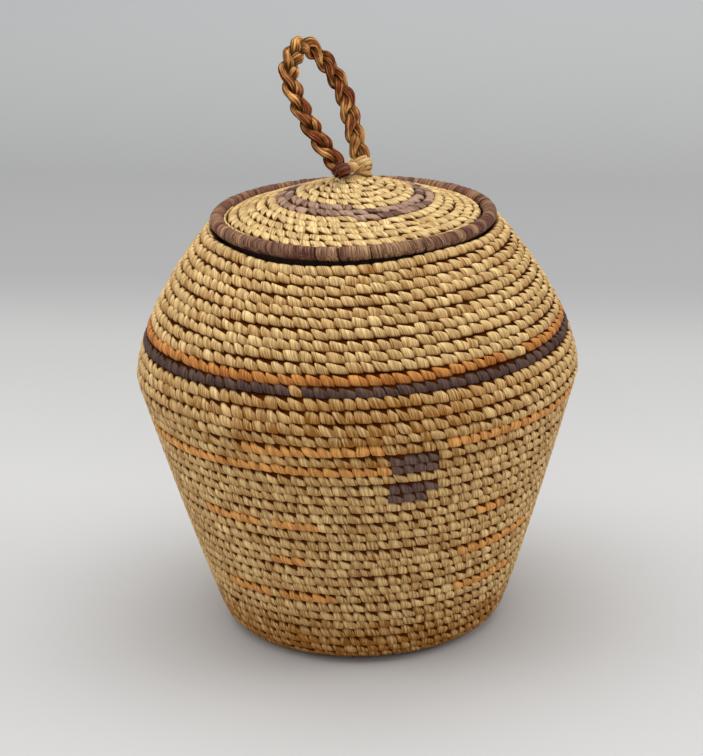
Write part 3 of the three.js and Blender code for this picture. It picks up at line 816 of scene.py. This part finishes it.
def braid_strand(index):
    """One strand of the braid: a flat section, fluted by its blades, carried along a line that zigzags.

    It zigzags across the braid once while it passes through it twice, a third of a cycle from the next
    strand. The zigzag is the arcsine of a sine. The strand is narrow in the middle of the braid, where it
    comes out from under the others, and at the braid's edge, where it turns; it is widest between the two.
    It has painted shade in the middle of the braid, where the others cover it, along its own edges and in
    the valleys between its blades.
    """
    share = np.linspace(-0.025, 1.025, 260)
    phase = 2 * np.pi * (BRAID_CYCLES * share + index / 3)
    point, direction = on_loop(FOOT_REACH + share * (LOOP_RUN[-1] - 2 * FOOT_REACH))
    side = np.stack([-direction[:, 1], direction[:, 0]], axis=-1)
    sway = BRAID_SWAY * np.arcsin(0.94 * np.sin(phase)) / np.arcsin(0.94) * (1 + 0.06 * uneven(share, 5))
    middle = to_space(point[:, 0] + side[:, 0] * sway, point[:, 1] + side[:, 1] * sway,
                      BRAID_DEPTH * np.sin(2 * phase))
    tangent = np.gradient(middle, axis=0)
    tangent /= np.linalg.norm(tangent, axis=1, keepdims=True)
    across = np.cross(LOOP_FACING, tangent)
    across /= np.linalg.norm(across, axis=1, keepdims=True)
    through = np.cross(tangent, across)
    around = np.linspace(0, 2 * np.pi, 48, endpoint=False)
    twist = around + 0.45 * uneven(share, 3)[:, None]
    valley = (1 - np.abs(np.cos(BLADES / 2 * twist + 0.4))) ** 2
    flute = 1.03 - 0.22 * valley
    wide = STRAND_HALF_WIDTH * np.sign(np.cos(around)) * np.abs(np.cos(around)) ** 0.8 * flute
    thick = STRAND_HALF_DEPTH * np.sin(around) * flute
    size = capped(len(share))
    leaf = size * (0.7 + 0.36 * np.abs(np.sin(2 * phase))) * (1 + 0.1 * uneven(share, 6))
    points = (middle[:, None] + (leaf[:, None] * wide)[..., None] * across[:, None]
              + (size[:, None] * thick)[..., None] * through[:, None])
    run = share * LOOP_RUN[-1]
    strand = strand_map(around * 1.8, run[:, None], 17.0 * index, points.shape[:2])
    which = np.floor((twist + 0.1) / (2 * np.pi / BLADES) + 0.5).astype(int) % BLADES
    marks = [0, 0.2, 0.4, 0.5, 0.6, 0.75, 0.9, 1]
    # Paler and deeper stretches along the braid, by the share of its length
    tone_along = np.interp(share, marks, [-0.2, -0.1, 0.2, 0.3, -0.1, -0.2, 0.1, 0.3])
    tone = chance.normal(0.4, 0.3, BLADES)[which] + (tone_along + 0.6 * uneven(share, 9))[:, None]
    # Painted shade: where the other strands cover this one, along its own edges and in its blades' valleys
    under = np.clip(1.5 - 2.2 * np.abs(np.sin(phase)), 0, 1)[:, None]
    shade = np.clip(valley + under + 0.8 * np.abs(np.cos(around)) ** 8, 0, 1)
    return tube_part(points, strand, tone, shade, 0, flip=True)


for index in range(3):
    add_piece(f"braid_blades_{index + 1}", [braid_strand(index)], [blade], "handle",
              f"braid_strand_{index + 1}")


def winding(middle, axis, radius, tall, turns, width, tilt):
    """A band wound round a foot of the loop: a flat section carried along a helix that swells in the middle.

    The radius swells as an ellipse does. The tilt sets each round aslant, by a sine.
    """
    band_half_depth = 0.55
    share = np.linspace(0, 1, int(turns * 28))
    axis = axis / np.linalg.norm(axis)
    first = np.cross(axis, np.array([0.3, 0.8, 0.1]))
    first /= np.linalg.norm(first)
    second = np.cross(axis, first)
    angle = 2 * np.pi * turns * share
    swell = radius * np.sqrt(1 - 0.75 * (2 * share - 1) ** 2)
    lift = tall * (share - 0.5) + tilt * np.sin(angle)
    line = (middle + (swell * np.cos(angle))[:, None] * first + (swell * np.sin(angle))[:, None] * second
            + lift[:, None] * axis)
    outward = np.cos(angle)[:, None] * first + np.sin(angle)[:, None] * second
    around = np.linspace(0, 2 * np.pi, 10, endpoint=False)
    size = capped(len(share))
    points = (line[:, None] + (size[:, None] * 0.5 * width * np.cos(around))[..., None] * axis
              + (size[:, None] * band_half_depth * np.sin(around))[..., None] * outward[:, None])
    strand = strand_map(width * 0.5 * np.cos(around), (angle * radius)[:, None], tall, points.shape[:2])
    # Painted shade towards the band's edges, where the rounds meet
    shade = np.abs(np.cos(around)) ** 4 * 0.6
    return tube_part(points, strand, 0.5, shade, 0)


def foot_core(middle, radius):
    """The lump inside a foot's windings: a ball with low swells."""
    rise = np.linspace(0, np.pi, 11)[:, None]
    around = np.linspace(0, 2 * np.pi, 18, endpoint=False)[None, :]
    reach = radius * (1 + 0.06 * np.cos(3 * around) * np.sin(rise))
    points = np.stack([reach * np.sin(rise) * np.cos(around), reach * np.sin(rise) * np.sin(around),
                       np.broadcast_to(radius * np.cos(rise), reach.shape)], axis=-1) + middle
    strand = strand_map(around * radius, rise * radius, 0.0, reach.shape)
    # Painted shade: the lump shows only between the windings, so it is drawn mostly in the shade colour
    return tube_part(points, strand, 0.3, 0.7, 0, flip=True)


def frayed_ends(middle, count):
    """Loose ends of blades that stand out of a knot: narrow flat strips that bend down and taper to a point.

    They bend down with the square of the length. They point away from the loop, close to the line through its
    feet, so that they stay clear as it leans over.
    """
    along = np.linspace(0, 1, 8)[None, :, None]
    around = np.linspace(0, 2 * np.pi, 6, endpoint=False)[None, None, :]
    turn = LOOP_YAW + np.pi + chance.uniform(-0.6, 0.6, count)
    rise = chance.uniform(-0.1, 0.5, count)
    outward = np.stack([np.cos(turn) * np.cos(rise), np.sin(turn) * np.cos(rise), np.sin(rise)], axis=-1)
    sideways = np.stack([-np.sin(turn), np.cos(turn), np.zeros(count)], axis=-1)
    upward = np.cross(outward, sideways)
    reach = 2.6 + chance.uniform(1.8, 3.6, count)[:, None, None] * along
    drop = -0.8 * along ** 2
    width = 0.9 * (1 - along) ** 0.6 + 0.01
    points = (middle + reach[..., None] * outward[:, None, None]
              + (width * np.cos(around))[..., None] * sideways[:, None, None]
              + (drop + 0.35 * width * np.sin(around))[..., None] * upward[:, None, None])
    shape = points.shape[:3]
    own = chance.uniform(0, OWN_NUMBERS, count)[:, None, None]
    strand = strand_map(width * np.cos(around), reach, own, shape)
    tone = chance.normal(0.5, 0.3, count)[:, None, None]
    return grid_part(points, strand, tone, 0.0, 0, around=True, flip=True)


FRONT_FOOT = HINGE - FOOT_HALF_SPACING * FOOT_LINE
BACK_FOOT = HINGE + FOOT_HALF_SPACING * FOOT_LINE
BETWEEN_FEET = 0.48 * BACK_FOOT + 0.52 * FRONT_FOOT
CURL_MIDDLE = 0.55 * BACK_FOOT + 0.45 * FRONT_FOOT + 1.5 * LOOP_UP
# A winding's middle and axis, then its radius, height, turns, width and tilt
front_windings = [foot_core(FRONT_FOOT, 3.2),
                  winding(FRONT_FOOT, LOOP_UP, 3.4, 5.4, 3.5, 1.7, 0.5),
                  winding(FRONT_FOOT, LOOP_UP + 0.8 * FOOT_LINE, 3.3, 3.0, 2.0, 1.5, -0.5),
                  frayed_ends(FRONT_FOOT, 14)]
add_piece("handle_front_windings", front_windings, [dark_blade], "handle", "handle_front_knot")
back_windings = [foot_core(BACK_FOOT, 3.95),
                 winding(BACK_FOOT, LOOP_UP, 3.7, 6.0, 4.0, 1.8, 0.3),
                 winding(BACK_FOOT, LOOP_UP - 0.9 * FOOT_LINE, 3.8, 3.0, 2.0, 1.7, 0.3),
                 winding(BETWEEN_FEET, FOOT_LINE, 1.7, 6.0, 4.0, 1.8, 0.1),
                 winding(CURL_MIDDLE, LOOP_FACING, 1.9, 1.2, 1.4, 1.5, 0.3)]
add_piece("handle_back_windings", back_windings, [natural], "handle", "handle_back_lashing")


# Floor, light and camera

def paper_floor():
    """Seamless paper, with painted light and shade: pale round the basket, greyer behind it, and pale again
    far off.

    The tints blend by the distance behind the basket, a little aslant.
    """
    material = empty_material("seamless_paper")
    tree = material.node_tree
    place = add_node(tree, "ShaderNodeTexCoord", output="Object")
    far = add_node(tree, "ShaderNodeVectorMath", {0: place, 1: (0.18, 1, 0)}, "Value",
                   operation="DOT_PRODUCT")
    colour = linear("#C9C9C9")
    # Painted light and shade by the distance behind: a pool of light near the basket, a greyer band, pale far
    # off
    for start, end, shape, painted_light_tint in (
            (0.14, 0.34, "LINEAR", "#BEBEBE"),
            (0.34, 0.54, "SMOOTHSTEP", "#A8A9A9"),
            (0.8, 1.7, "LINEAR", "#E0E1E2")):
        share = add_node(tree, "ShaderNodeMapRange", {"Value": far, "From Min": start, "From Max": end},
                         interpolation_type=shape)
        colour = add_node(tree, "ShaderNodeMix", {0: share, 6: colour, 7: linear(painted_light_tint)}, 2, data_type="RGBA")
    surface = add_node(tree, "ShaderNodeBsdfPrincipled", {"Base Color": colour, "Roughness": 0.9,
                                                          "Specular IOR Level": 0.1})
    add_node(tree, "ShaderNodeOutputMaterial", {"Surface": surface})
    return material


def add_floor(half_size, below):
    """A square sheet of paper, a little below the basket's foot."""
    mesh = bpy.data.meshes.new("floor")
    corners = np.array([(-1, -1), (1, -1), (1, 1), (-1, 1)]) * half_size
    points = [(x, y, -below) for x, y in corners]
    mesh.from_pydata(points, [], [(0, 1, 2, 3)])
    mesh.materials.append(paper_floor())
    floor = bpy.data.objects.new("floor", mesh)
    bpy.context.scene.collection.objects.link(floor)


def add_softbox(name, place, target, size, power):
    """A square soft lamp at a place, facing a target."""
    lamp = bpy.data.lights.new(name, "AREA")
    lamp.shape = "SQUARE"
    lamp.size = size
    lamp.energy = power
    lamp.color = linear("#FFFEFC")[:3]
    holder = bpy.data.objects.new(name, lamp)
    bpy.context.scene.collection.objects.link(holder)
    holder.matrix_world = facing(place, target, 0)


def facing(place, target, roll):
    """Placement matrix that looks from a place to a target along its own -Z, turned clockwise by roll."""
    place = np.array(place, dtype=float)
    ahead = np.array(target) - place
    ahead /= np.linalg.norm(ahead)
    right = np.cross(ahead, (0, 0, 1))
    right /= np.linalg.norm(right)
    upward = np.cross(right, ahead)
    turned = np.eye(4)
    turned[:3, 0] = np.cos(roll) * right - np.sin(roll) * upward
    turned[:3, 1] = np.sin(roll) * right + np.cos(roll) * upward
    turned[:3, 2] = -ahead
    turned[:3, 3] = place
    return Matrix(turned.tolist())


def add_camera():
    """The photograph's camera, a metre from its target, found from the basket's outline in the photograph."""
    tilt = np.radians(18.62)
    roll = np.radians(1.67)
    target = np.array([-2.72, 0, 106.57]) * MM
    focal_pixels = 2324
    photo_pixels = 756
    sensor = 36
    place = target - np.array([0, np.cos(tilt), -np.sin(tilt)])
    lens = bpy.data.cameras.new("camera")
    lens.lens = focal_pixels / photo_pixels * sensor
    lens.sensor_width = sensor
    camera = bpy.data.objects.new("camera", lens)
    bpy.context.scene.collection.objects.link(camera)
    camera.matrix_world = facing(place, target, roll)
    bpy.context.scene.camera = camera


def add_world():
    """An even pale light from all round."""
    world = bpy.data.worlds.new("studio")
    world.use_nodes = True
    tree = world.node_tree
    tree.nodes.clear()
    fill = add_node(tree, "ShaderNodeBackground", {"Color": linear("#E8EAEE"), "Strength": 0.29})
    add_node(tree, "ShaderNodeOutputWorld", {"Surface": fill})
    bpy.context.scene.world = world


# Places and sizes are metres, powers watts
FLOOR_HALF_SIZE = 6.0
FLOOR_DROP = 0.0003
add_floor(FLOOR_HALF_SIZE, FLOOR_DROP)
for name, place, target_height, size, power in (
        ("overhead_softbox", (0, 0.1, 1.9), 0.1, 2.5, 40.5),
        ("left_softbox", (-1.5, 0, 0.8), 0.1, 1.0, 7.5),
        ("right_softbox", (1.5, 0, 0.8), 0.1, 1.0, 9.0),
        ("front_softbox", (0, -1.7, 1.0), 0.05, 1.4, 4.5),
        ("low_front_softbox", (0, -1.5, 0.15), 0.05, 0.8, 2.5)):
    add_softbox(name, place, (0, 0, target_height), size, power)
add_world()
add_camera()
bpy.context.scene.view_settings.view_transform = "Standard"
